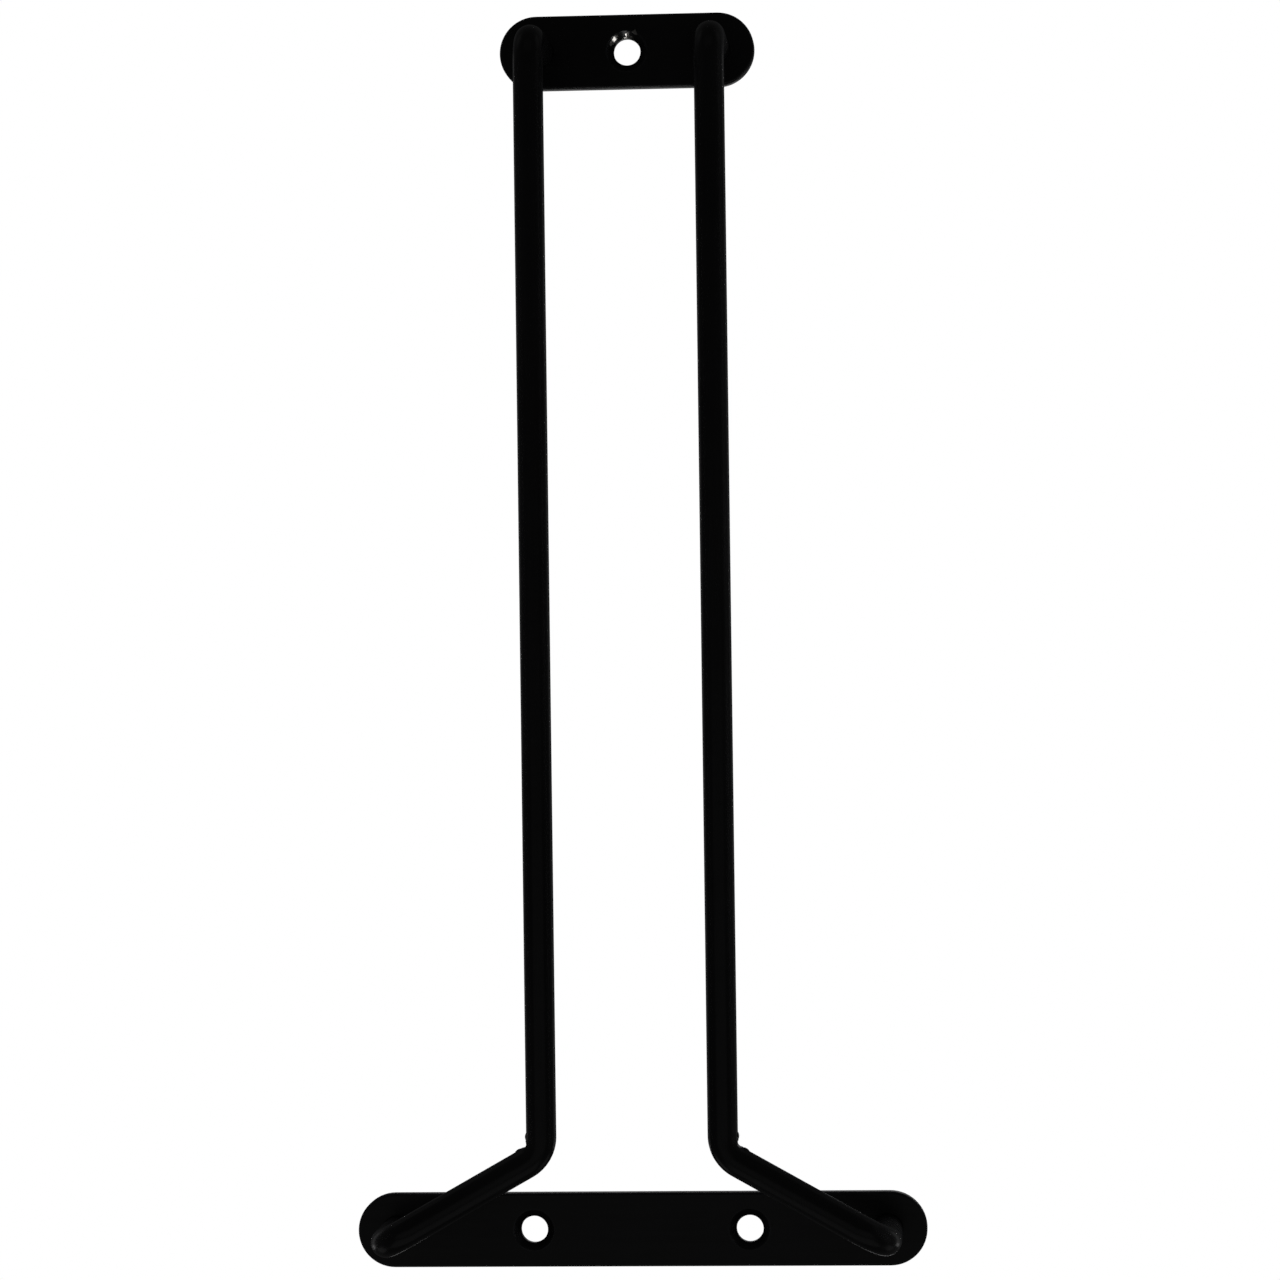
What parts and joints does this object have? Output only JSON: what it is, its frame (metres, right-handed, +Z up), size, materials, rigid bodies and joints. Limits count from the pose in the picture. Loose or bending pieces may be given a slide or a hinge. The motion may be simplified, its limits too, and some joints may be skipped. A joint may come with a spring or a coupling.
{
  "type": "two-rod hanging rack",
  "caption": "Wall or under-shelf rack: bent round rods stand off flat round-ended screw plates and form a parallel channel that flares to a wide open mouth.",
  "frame": {"origin": "on the wall plane, midway between the two screw holes of the lower plate", "axes": "+X to the right, +Y into the wall, +Z up from the lower plate to the upper plate"},
  "size_m": [0.116, 0.03, 0.255],
  "materials": {
    "black_powder_coat": "semi-gloss black powder coat over welded mild steel"
  },
  "bodies": {
    "root": {"upper_plate": "black_powder_coat", "lower_plate": "black_powder_coat", "left_rod": "black_powder_coat", "right_rod": "black_powder_coat", "upper_left_weld": "black_powder_coat", "upper_right_weld": "black_powder_coat", "lower_left_weld": "black_powder_coat", "lower_right_weld": "black_powder_coat"}
  },
  "joints": []
}
